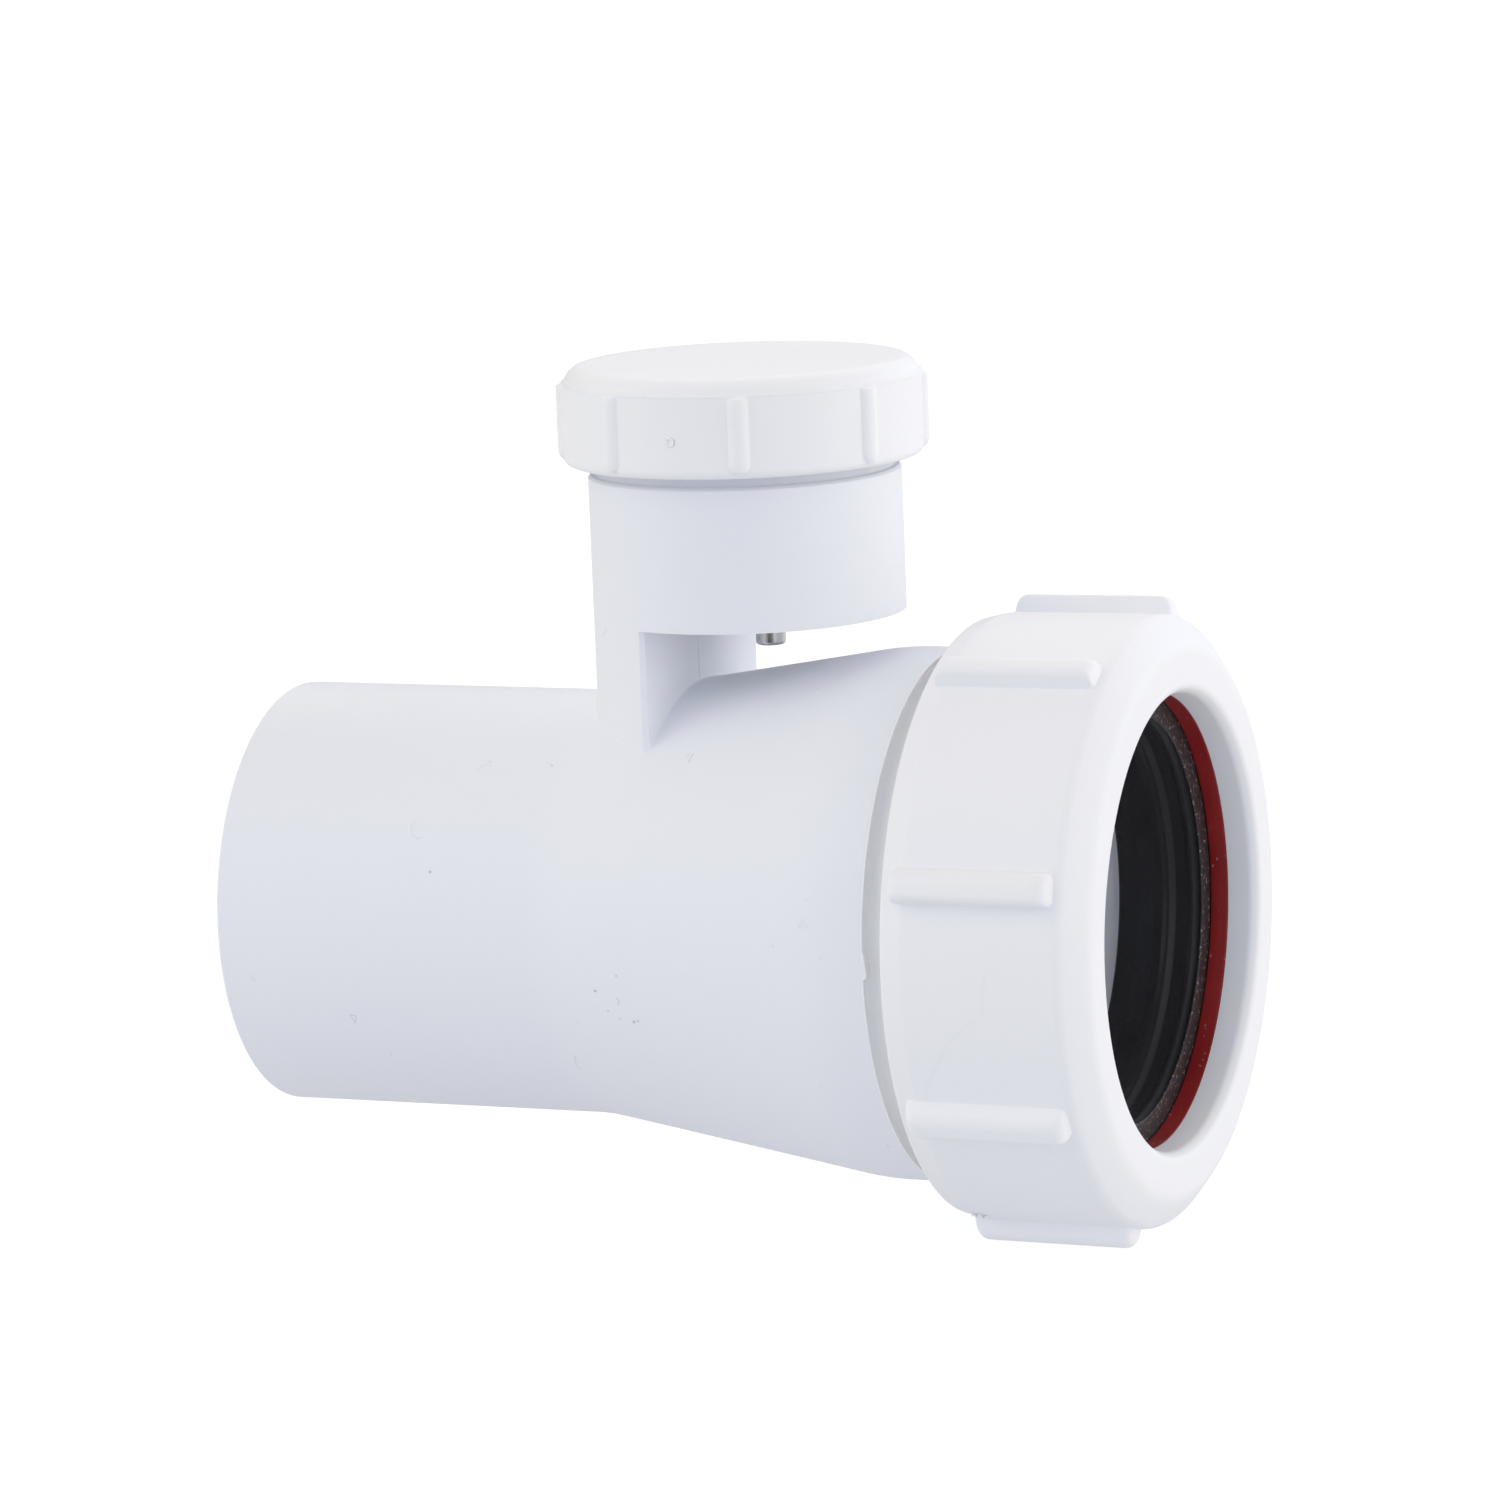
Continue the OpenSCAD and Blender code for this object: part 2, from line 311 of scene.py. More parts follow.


# handling scratches, fibres and specks on the body, and a line of painted shade down the duct's parting line: half
# width, strength, points
BODY_LINES = [
    (0.060, 0.11, [(20.18, -17.49, 10.68), (19.92, -17.91, 9.97), (20.26, -18.27, 9.28), (20.83, -18.40, 9.03), (21.22, -18.31, 9.22)]),
    (0.055, 0.11, [(25.36, -13.91, 15.05), (25.80, -13.45, 15.46), (26.53, -13.44, 15.48)]),
    (0.055, 0.12, [(32.08, -12.99, 15.85), (32.92, -13.26, 15.63)]),
    (0.065, 0.22, [(12.90, -18.74, -8.31), (13.52, -18.72, -8.35), (13.25, -18.33, -9.14), (12.90, -18.74, -8.31)]),
    (0.055, 0.12, [(3.07, -20.01, -4.44), (3.48, -19.84, -5.15)]),
    (0.055, 0.18, [(35.65, -17.20, -11.65), (35.39, -16.47, -12.59), (35.67, -15.99, -13.26)]),
    (0.060, 0.26, [(41.98, -21.27, -4.95), (42.26, -21.25, -5.23), (42.08, -21.11, -5.65)]),
    (0.055, 0.28, [(47.89, -15.62, 16.65), (48.11, -14.85, 17.38)]),
    (0.050, 0.18, [(47.49, -15.11, 17.02), (47.74, -14.69, 17.44)]),
    (0.055, 0.12, [(64.42, -25.39, 0.46), (64.72, -25.39, 0.56)]),
    (0.060, 0.22, [(37.28, -10.10, 27.63), (38.09, -10.92, 28.44)]),
    (0.050, 0.14, [(58.27, -8.83, 22.93), (58.99, -9.37, 22.84)]),
    # partly painted shade: a darker line down the parting line on the duct's face, along its ridge
    (0.070, 0.12, [(43.08, -0.72, 21.8), (43.08, -0.72, 28.74)]),
]
BODY_DOTS = [
    (0.14, 0.46, (22.48, -19.56, 6.11)), (0.12, 0.16, (26.31, -13.16, 15.72)), (0.12, 0.24, (32.85, -13.35, 15.55)),
    (0.11, 0.14, (15.79, -16.13, -12.65)), (0.12, 0.28, (42.27, -21.71, -2.75)),
    (0.13, 0.52, (39.73, -20.99, -4.43)), (0.12, 0.26, (40.84, -20.69, -6.37)), (0.11, 0.22, (42.02, -20.66, -7.09)),
    (0.15, 0.48, (43.54, -20.86, -7.27)), (0.13, 0.34, (44.01, -21.00, -7.13)), (0.11, 0.12, (37.17, -19.52, -7.82)),
    (0.11, 0.16, (63.07, -24.70, 5.81)), (0.11, 0.12, (59.62, -24.76, 1.37)),
    (0.11, 0.12, (62.77, -22.09, -12.38)), (0.13, 0.24, (67.19, -16.96, -18.91)), (0.42, 0.05, (62.73, -25.06, 3.62)),
    (0.16, 0.12, (62.41, -25.04, 3.32)), (0.14, 0.12, (63.16, -25.16, 3.37)), (0.11, 0.12, (37.73, -10.57, 21.76)),
]
# pale: painted light, a paler base colour from 68.7 to 72 mm along the pipe, in the gap before the nut
body_mat = plastic("body_white_plastic", (0.895, 0.912, 0.955), (0.88, 0.898, 0.943), lines=BODY_LINES, dots=BODY_DOTS,
                   pale=(68.7, 72.0, (0.98, 0.982, 0.99)))
nut_mat = plastic("nut_white_plastic", (0.938, 0.944, 0.968), (0.925, 0.932, 0.958),
                  lines=[(0.2, 0.022, [(82.0, -28.9, 0.5), (81.6, -28.77, -3.2), (77.65, -28.17, -6.67), (75.37, -26.95, -10.58), (74.85, -26.27, -12.15)]),
                         (0.05, 0.12, [(78.71, -28.53, 4.87), (79.20, -28.55, 4.80), (79.49, -28.59, 4.54)]), (0.06, 0.3, [(89.93, -27.29, -9.66), (90.19, -26.99, -10.45)])],
                  dots=[(0.1, 0.15, (89.55, -28.29, -6.13))])
cap_mat = plastic("cap_white_plastic", (0.952, 0.958, 0.978), (0.94, 0.947, 0.968),
                  lines=[(0.045, 0.16, [(46.0, -17.0, 43.7), (46.3, -17.02, 43.66)]),
                         # the next strokes darken the sides of the gate mark's ring: painted shade
                         (0.055, 0.36, [(48.10, -17.16, 47.6), (48.50, -17.16, 47.32), (48.47, -17.16, 47.01)]), (0.06, 0.6, [(48.47, -17.16, 47.01), (48.23, -17.16, 46.75)]),
                         (0.05, 0.28, [(47.62, -17.16, 47.45), (47.79, -17.16, 46.69)])],
                  dots=[(0.12, 0.3, (46.25, -17.02, 43.74)), (0.12, 0.3, (53.2, -16.3, 43.56)), (0.1, 0.15, (37.07, -12.96, 51.36)), (0.1, 0.1, (45.53, -16.92, 51.35)), (0.1, 0.08, (46.56, -14.19, 52.9))])
disc_mat = plastic("disc_white_plastic", (0.86, 0.86, 0.86), (0.83, 0.83, 0.83))


def rubber(name, base=(0.0096, 0.0096, 0.0118), dust_from=None):
    m, nt, p = material(name)
    where = place(nt)
    cloud = noise(nt, where, 260.0, 3.0, 0.6)
    col = mix(nt, cloud, base, tuple(1.9 * c for c in base))
    if dust_from is not None:
        xyz = node(nt, "ShaderNodeSeparateXYZ")
        nt.links.new(where, xyz.inputs[0])
        face = math_node(nt, "GREATER_THAN", xyz.outputs["X"], dust_from * MM)
        film = noise(nt, where, 1700.0, 3.0, 0.7)
        patch = math_node(nt, "MULTIPLY_ADD", film, 2.3, -0.65, clamp=True)
        col = mix(nt, math_node(nt, "MULTIPLY", face, patch), col, (0.052, 0.036, 0.037))
        spots = noise(nt, where, 2700.0, 1.0, 0.5)
        speck = node(nt, "ShaderNodeMapRange", interpolation_type="SMOOTHSTEP")
        speck.inputs["From Min"].default_value, speck.inputs["From Max"].default_value = 0.64, 0.68
        nt.links.new(spots, speck.inputs["Value"])
        col = mix(nt, math_node(nt, "MULTIPLY", speck.outputs[0], math_node(nt, "MULTIPLY_ADD", face, 0.68, 0.02)), col, (0.4, 0.34, 0.33))
    nt.links.new(col, p.inputs["Base Color"])
    r = ramp(nt, cloud, [(0.3, (0.38,) * 3), (0.7, (0.56,) * 3)])
    nt.links.new(r, p.inputs["Roughness"])
    p.inputs["IOR"].default_value = 1.5
    p.inputs["Specular IOR Level"].default_value = 0.3
    fine = noise(nt, where, 2400.0, 3.0, 0.6)
    bump(nt, p, fine, 0.00001, 0.7)
    return m


seal_mat = rubber("seal_black_rubber", dust_from=86.2)
washer_mat = rubber("washer_black_rubber")
valve_rubber_mat = rubber("valve_soft_rubber", base=(0.03, 0.03, 0.032))


def red_plastic():
    m, nt, p = material("slip_ring_red_plastic")
    where = place(nt)
    cloud = noise(nt, where, 160.0, 3.0, 0.6)
    col = ramp(nt, cloud, [(0.3, (0.275, 0.010, 0.011)), (0.7, (0.34, 0.016, 0.016))])
    spots = noise(nt, where, 2300.0, 1.0, 0.5)
    col = mix(nt, math_node(nt, "MULTIPLY", math_node(nt, "GREATER_THAN", spots, 0.735), 0.5), col, (0.6, 0.38, 0.35))
    nt.links.new(col, p.inputs["Base Color"])
    nt.links.new(ramp(nt, cloud, [(0.3, (0.3,) * 3), (0.7, (0.42,) * 3)]), p.inputs["Roughness"])
    p.inputs["IOR"].default_value = 1.5
    bump(nt, p, noise(nt, where, 1500.0, 2.0, 0.6), 0.00001, 0.5)
    return m


ring_mat = red_plastic()


def steel():
    """Turned stainless: fine rings round the pin's axis, as bands of height on its side."""
    m, nt, p = material("pin_turned_steel")
    where = place(nt)
    stretch = node(nt, "ShaderNodeMapping")
    stretch.inputs["Scale"].default_value = (60.0, 60.0, 9000.0)
    nt.links.new(where, stretch.inputs["Vector"])
    rings = node(nt, "ShaderNodeTexNoise", in_Scale=1.0, in_Detail=3.0, in_Roughness=0.6)
    nt.links.new(stretch.outputs[0], rings.inputs["Vector"])
    tone = ramp(nt, rings.outputs["Fac"], [(0.3, (0.64, 0.63, 0.615)), (0.7, (0.76, 0.75, 0.735))])
    nt.links.new(tone, p.inputs["Base Color"])
    nt.links.new(ramp(nt, rings.outputs["Fac"], [(0.3, (0.08,) * 3), (0.7, (0.14,) * 3)]), p.inputs["Roughness"])
    p.inputs["Metallic"].default_value = 1.0
    bump(nt, p, rings.outputs["Fac"], 0.0000015, 0.4)
    return m


pin_mat = steel()

for name, m in (("body", body_mat), ("cap_washer", washer_mat), ("valve_disc", disc_mat), ("valve_rubber", valve_rubber_mat), ("guide_pin", pin_mat)):
    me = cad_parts[name].data
    me.materials.clear()
    me.materials.append(m)

# ---------------------------------------------------------------- threads
NUT_PITCH, NUT_X0 = 3.0, 72.0
CAP_PITCH, CAP_Z0 = 2.0, 43.3


def tooth(w, crest, base):
    """1 on the crest, 0 beyond the base, with eased flanks. w is the distance from the tooth's middle."""
    return step((base - np.abs(w)) / (base - crest))


def thread_height(along, th, start, pitch, first, last, crest, base, fade=0.22):
    """Share of full height of a right-hand thread at (along, th), with run-outs at both ends (first and last, in turns)."""
    turn = (along - start) / pitch - th / TAU
    n = np.round(turn)
    w = (turn - n) * pitch
    t = n + th / TAU
    return tooth(w, crest, base) * step((t - first) / fade) * step((last - t) / fade)


def thread_ridge(name, kind, start, pitch, first, last, root, crest_r, crest, base, x0=0.0):
    """A closed helical ridge, sunk a little into the wall that carries it."""
    n = int((last - first) * 96)
    t = np.linspace(first, last, n + 1)
    f = step((t - first) / 0.22) * step((last - t) / 0.22)
    sec = soft([(-base - 0.05, root - 0.3), (-base, root), (-crest, crest_r, 0.12), (crest, crest_r, 0.12), (base, root), (base + 0.05, root - 0.3)], 3)
    rows = []
    for s, h in sec:
        r = np.where(h > root, root - 0.02 + (h - root + 0.02) * f, h)
        along = start + pitch * t + s
        rows.append(about_x(r, along, t * TAU) if kind == "x" else about_z(x0, r, along, t * TAU))
    v = np.stack(rows, 1)
    m = len(sec)
    faces = grid_faces(n + 1, m, wrap_u=False)
    faces += [tuple(range(m)), tuple(reversed(range(n * m, n * m + m)))]
    return v.reshape(-1, 3), faces


v, f = thread_ridge("nut_thread", "x", NUT_X0, NUT_PITCH, 0.45, 3.45, 24.0, 25.2, 0.35, 0.8)
mesh_object("socket_thread", v, f, "main_body", body_mat)
v, f = thread_ridge("neck_thread", "z", CAP_Z0, CAP_PITCH, 0.55, 2.5, 14.2, 14.98, 0.22, 0.5, 48.3)
mesh_object("neck_thread", v, f, "main_body", body_mat)


# ---------------------------------------------------------------- compression nut
def build_nut():
    R, rear, front = 28.95, 71.5, 91.3
    ribs, phase, width, high = 8, math.radians(29.0), 3.5, 1.85
    LINE_A, LINE_B = 74.05, 82.1
    outer = soft([(rear, 26.4), (rear, R - 0.65, 0.4), (rear + 2.2, R - 0.12, 2.0), (front - 2.2, R, 1.6), (front, 26.0, 2.2), (front, 22.15, 0.9), (90.45, 21.6, 1.2), (88.9, 21.5), (88.2, 21.5)], 8)
    outer = outer[:-1]
    # the rib in side view and across
    side = soft([(rear + 0.4, 0), (rear + 1.08, 0, 0.1), (rear + 1.5, high, 0.75), (front - 3.25, high, 1.2), (front - 2.82, 0, 0.1), (front - 2.0, 0)], 7)
    across = soft([(-3.2, 0), (-width / 2 - 0.06, 0, 0.1), (-width / 2 + 0.26, high, 1.6), (width / 2 - 0.42, high, 0.7), (width / 2 - 0.26, 0, 0.1), (3.2, 0)], 8)
    bx, br = np.array([p[0] for p in outer]), np.array([p[1] for p in outer])
    top = [k for k in range(len(outer)) if br[k] > 27.7 and bx[k] < front - 1.5]
    k0, k1 = top[0], top[-1]
    sx, sh = np.array([p[0] for p in side]), np.array([p[1] for p in side])
    xs = np.unique(np.round(np.concatenate([bx[k0:k1 + 1], sx, np.arange(75, 88, 0.9), LINE_A + 0.05 * np.arange(-4, 5), LINE_B + 0.05 * np.arange(-4, 5)]), 3))
    xs = xs[(xs >= bx[k0]) & (xs <= bx[k1])]
    keep = [xs[0]]
    for x in xs[1:]:
        if x - keep[-1] > 0.03:
            keep.append(x)
    xs = np.array(keep)
    prof = [(p[0], p[1], 0.0, 0) for p in outer[:k0]]
    for x in xs:
        r = float(np.interp(x, bx[k0:k1 + 1], br[k0:k1 + 1]))
        s = float(np.interp(x, sx, sh, left=0, right=0)) / high
        line = 0.05 * (math.exp(-((x - LINE_A) / 0.085) ** 2) + 0.7 * math.exp(-((x - LINE_B) / 0.085) ** 2))
        prof.append((x, r + line * (1 - s), s, 0))
    prof += [(p[0], p[1], 0.0, 0) for p in refine(outer[k1 + 1:], 1.2, closed=False)]
    inner = soft([(88.2, 21.5), (88.2, 25.15, 0.3), (83.9, 25.15), (83.4, 25.8)], 4)
    prof += [(p[0], p[1], 0.0, 0) for p in inner]
    prof += [(x, 25.8, 0.0, 1) for x in np.arange(83.1, 72.55, -0.16)]
    prof += [(72.4, 25.8, 0.0, 0), (rear + 0.25, 25.95, 0.0, 0)]
    prof = np.array(prof, float)
    # lines round the nut: close together at the ribs, even between them
    u = np.array([p[0] for p in across])
    h = np.array([p[1] for p in across]) / high
    order = np.argsort(u)
    u, h = u[order], h[order]
    extra = np.array([0.15, 0.4])
    u, h = np.concatenate([u, extra]), np.concatenate([h, np.ones(2)])
    order = np.argsort(u)
    u, h = u[order], h[order]
    centre, off, rise = [], [], []
    between = 11
    edge = math.asin(3.2 / R)
    for k in range(ribs):
        c = phase + k * TAU / ribs
        centre += [c] * len(u)
        off += list(u)
        rise += list(h)
        for j in range(1, between + 1):
            a = edge + (TAU / ribs - 2 * edge) * j / (between + 1)
            centre.append(c + a)
            off.append(0.0)
            rise.append(0.0)
    centre, off, rise = map(np.array, (centre, off, rise))
    x, r, s, t = prof.T
    S = s[:, None]
    rr = r[:, None] + high * S * rise[None]
    # rib ends are rounded in plan as well
    squeeze = 1 - 0.34 * (1 - S) ** 2 * (S > 0) * (np.abs(off)[None] < 2.1)
    uu = off[None] * np.where(S > 0, squeeze, 1)
    rho = np.maximum(rr, 27.7)
    th = centre[None] + np.arcsin(np.clip(uu / rho, -1, 1))
    th = np.where(r[:, None] < 27.7, centre[None] + np.arcsin(off[None] / R), th)
    cut = thread_height(x[:, None] + 0 * th, th, NUT_X0 + NUT_PITCH / 2, NUT_PITCH, 0.15, 3.3, 0.35, 0.8)
    cut = cut * step((x[:, None] - 72.5) / 0.5) * step((83.2 - x[:, None]) / 0.5)
    rr = rr - 1.1 * cut * t[:, None]
    # a moulded part is never quite round
    p = np.stack([x[:, None] + 0 * th, -rr * np.sin(th), rr * np.cos(th)], -1)
    v = p.reshape(-1, 3)
    wob = noise3(v, 17.0, 3) * 0.03
    scale = 1 + wob / np.maximum(np.hypot(v[:, 1], v[:, 2]), 1)
    v[:, 1] *= scale
    v[:, 2] *= scale
    return v, grid_faces(len(prof), len(centre))


v, f = build_nut()
nut = mesh_object("nut_moulding", v, f, "nut", nut_mat, ["compression_nut"], angle=50)


def build_burr():
    """A crumb of flash on the parting line, where it meets the lowest rib in the photo: a torn, folded edge."""
    R = 28.93
    path = refine([(73.75, 153.4), (73.7, 157.2), (74.3, 154.2), (74.35, 156.8), (75.0, 155.6)], 0.3, closed=False)
    path = np.array(path, float)
    x, a = path[:, 0], path[:, 1] * R * math.pi / 180
    dx, da = np.gradient(x), np.gradient(a)
    k = np.hypot(dx, da)
    t = np.linspace(0, 1, len(x))
    tall = 0.26 * (0.65 + 0.35 * np.sin(17 * t + 0.6)) * np.sqrt(np.clip(np.minimum(t, 1 - t) / 0.12, 0.02, 1))
    rows = []
    for w, h in ((-0.09, -0.06), (-0.055, 0.25), (-0.02, 0.95), (0.02, 1.0), (0.055, 0.25), (0.09, -0.06)):
        lean = 0.06 * np.sin(11 * t) * max(h, 0)
        rows.append(about_x(R + (h * tall if h > 0 else h), x - (w + lean) * da / k, (a + (w + lean) * dx / k) / R))
    v = np.stack(rows, 1)
    n, m = v.shape[:2]
    faces = grid_faces(n, m, wrap_u=False) + [tuple(range(m)), tuple(reversed(range((n - 1) * m, n * m)))]
    return v.reshape(-1, 3), faces


v, f = build_burr()
mesh_object("nut_flash_crumb", v, f, "nut", nut_mat, angle=50)


# ---------------------------------------------------------------- valve cap
def build_cap():
    R, x0, z0, bevel, top = 17.15, 48.3, 43.55, 51.35, 52.9
    ribs, phase, rib_r = 8, math.radians(21.2), 1.2
    prof = soft([(0, top), (16.55, top, 1.7), (R - 0.28, bevel + 0.2, 0.05), (R + 0.04, bevel + 0.03, 0.03), (R + 0.04, bevel - 0.05, 0.02), (R, bevel - 0.09), (R, z0, 0.8), (15.7, z0, 0.15), (15.25, z0 + 0.5), (15.25, 50.9, 0.4), (0, 50.9)], 6)
    # split the profile: top plate, side, inside
    r, z = np.array([p[0] for p in prof]), np.array([p[1] for p in prof])
    side = [k for k in range(len(prof)) if r[k] > 16.2 and z[k] > z0 + 0.5]
    k0, k1 = side[0], side[-1]
    seg_z = np.array([z[k] for k in range(k0, k1 + 1)])
    seg_r = np.array([r[k] for k in range(k0, k1 + 1)])
    rib_low, rib_up = z0 + 0.45, bevel - 0.02
    extra = np.concatenate([rib_low + np.array([-0.12, 0.0, 0.06, 0.14, 0.26, 0.42, 0.62, 0.86, 1.15, 1.5]), rib_up - np.array([0.0, 0.04, 0.09, 0.15, 0.23, 0.32]), [bevel + 0.3, bevel + 0.45], np.arange(46, 51, 0.9)])
    zz = np.unique(np.round(np.concatenate([seg_z, extra]), 3))[::-1]
    zz = zz[(zz <= seg_z[0]) & (zz >= seg_z[-1])]
    keep = [zz[0]]
    for q in zz[1:]:
        if keep[-1] - q > 0.035:
            keep.append(q)
    zz = np.array(keep)
    rr = np.interp(zz[::-1], seg_z[::-1], seg_r[::-1])[::-1]
    plate = refine([(r[k], z[k]) for k in range(0, k0)], 1.5, closed=False)[1:]
    rest = refine([(r[k], z[k]) for k in range(k1 + 1, len(prof))], 2.0, closed=False)[:-1]
    rows = [(a, b, 0, 0) for a, b in plate] + [(a, b, 1, 0) for a, b in zip(rr, zz)]
    for a, b in rest:
        if abs(a - 15.25) < 0.02 and 44.3 < b < 50.4:
            continue
        rows.append((a, b, 0, 0))
        if abs(a - 15.25) < 0.02 and abs(b - (z0 + 0.5)) < 0.02:
            rows += [(15.25, q, 0, 1) for q in np.arange(44.4, 50.3, 0.12)]
    rows = np.array(rows, float)
    # rib section: a round back, 2 mm wide and half a millimetre proud, with a tight foot
    half = 1.0
    u = np.concatenate([[-1.5, -1.2, -1.04], -half * np.cos(np.linspace(0, math.pi, 19)), [1.04, 1.2, 1.5]])
    back = np.sqrt(np.maximum(rib_r ** 2 - u ** 2, 0)) - math.sqrt(rib_r ** 2 - half ** 2)
    back = np.where(np.abs(u) >= 1.03, 0, np.maximum(back, 0.012))
    centre, off, rise = [], [], []
    between = 12
    edge = 1.5 / R
    for k in range(ribs):
        c = phase + k * TAU / ribs
        centre += [c] * len(u)
        off += list(u)
        rise += list(back)
        for j in range(1, between + 1):
            centre.append(c + edge + (TAU / ribs - 2 * edge) * j / (between + 1))
            off.append(0.0)
            rise.append(0.0)
    centre, off, rise = map(np.array, (centre, off, rise))
    a, b, s, t = rows.T
    B = b[:, None]
    # lower end like a bullet: a round foot in plan
    low = np.clip((B - rib_low) / 1.0, 0, 1)
    foot = np.sqrt(np.clip(1 - (1 - low) ** 2, 0, 1))
    wide = np.where(s[:, None] > 0, np.where(B < rib_low, 1.0, np.maximum(foot, 0.25)), 1.0)
    uu = off[None] * np.where(np.abs(off)[None] < 1.05, wide, 1.0)
    up = step((rib_up - B) / 0.32)
    r2 = a[:, None] + s[:, None] * rise[None] * foot * (B >= rib_low) * up
    ang = centre[None] + uu / R
    cut = thread_height(B + 0 * ang, ang, CAP_Z0 + CAP_PITCH / 2, CAP_PITCH, 0.2, 2.9, 0.22, 0.5)
    cut = cut * step((B - 44.3) / 0.4) * step((50.1 - B) / 0.4)
    r2 = r2 - 0.72 * cut * t[:, None]
    # the mould's sink mark: a shallow dish in the plate's middle
    zs = B - 0.05 * np.exp(-((a[:, None] / 9.0) ** 2)) * (B > 52.5)
    v = np.stack([x0 + r2 * np.sin(ang), -r2 * np.cos(ang), zs + 0 * ang], -1)
    n, m = len(rows), len(centre)
    v = v.reshape(-1, 3)
    faces = grid_faces(n, m, wrap_u=False)
    v = np.vstack([v, [[x0, 0, top - 0.05], [x0, 0, 50.9]]])
    pole, low_pole = n * m, n * m + 1
    faces += [(pole, j, (j + 1) % m) for j in range(m)]
    last = (n - 1) * m
    faces += [(low_pole, last + (j + 1) % m, last + j) for j in range(m)]
    return v, faces


def build_pip():
    """The gate's mark on the cap's skirt: a low ring, lower on one side, round a shallow dimple."""
    R, x0, a0, z0 = 17.15, 48.3, math.radians(-0.8), 47.12
    rows = []
    for i in range(28):
        t = TAU * i / 28
        row = []
        for j in range(8):
            q = TAU * j / 8
            ring = 0.34 + 0.08 * math.cos(q)
            out = 0.012 + (0.15 + 0.05 * math.cos(t - 0.5)) * math.sin(q)
            row.append((ring * math.cos(t), ring * 1.15 * math.sin(t), out))
        rows.append(row)
    p = np.array(rows).reshape(-1, 3)
    ang = a0 + p[:, 0] / R
    v = about_z(x0, R + p[:, 2], z0 + p[:, 1], ang)
    return v, grid_faces(28, 8)


v, f = build_cap()
cap = mesh_object("cap_moulding", v, f, "cap", cap_mat, ["valve_cap"], angle=50)
v, f = build_pip()
mesh_object("cap_gate_mark", v, f, "cap", cap_mat, angle=60)


# ---------------------------------------------------------------- seal and slip ring
def turned(name, loop, body, mat, replaces, longest=0.6, around=256, wobble=0.0, seed=1, angle=55):
    """A closed ring turned about the pipe's axis from a loop of (r, x)."""
    loop = refine(loop, longest)
    r, x = np.array([p[0] for p in loop]), np.array([p[1] for p in loop])
    th = np.arange(around) * TAU / around
    R = r[:, None] + 0 * th[None]
    v = np.stack([x[:, None] + 0 * th, -R * np.sin(th), R * np.cos(th)], -1).reshape(-1, 3)
    if wobble:
        w = noise3(v, 6.0, seed) * wobble
        k = 1 + w / np.hypot(v[:, 1], v[:, 2])
        v[:, 1] *= k
        v[:, 2] *= k
        v[:, 0] += noise3(v, 9.0, seed + 1) * wobble * 0.4
    return mesh_object(name, v, grid_faces(len(loop), around), body, mat, replaces, angle)


seal_loop = soft([
    (19.3, 77.7, 0.3), (21.2, 77.7, 0.4), (22.3, 78.3), (22.93, 82.9), (22.93, 83.32), (24.5, 83.32, 0.4), (24.5, 86.33, 0.35),
    (19.35, 86.33, 0.15), (19.35, 86.14, 0.08), (19.85, 85.9, 0.12), (19.3, 85.2, 0.3), (19.85, 84.6, 0.3), (19.85, 83.45, 0.25),
    (19.3, 82.8, 0.35), (19.7, 82.1, 0.3), (19.7, 81.3, 0.3), (19.35, 79.6, 0.8)], 7)
turned("seal_rubber", seal_loop, "main_body", seal_mat, ["pipe_seal"], longest=0.5, around=320, wobble=0.03, angle=70)
ring_loop = soft([(21.5, 86.4, 0.12), (24.8, 86.4, 0.2), (24.8, 88.15, 0.2), (21.5, 88.15, 0.12)], 5)
turned("slip_ring_moulding", ring_loop, "ring_carriage", ring_mat, ["slip_ring"], longest=0.5, wobble=0.02, seed=5)


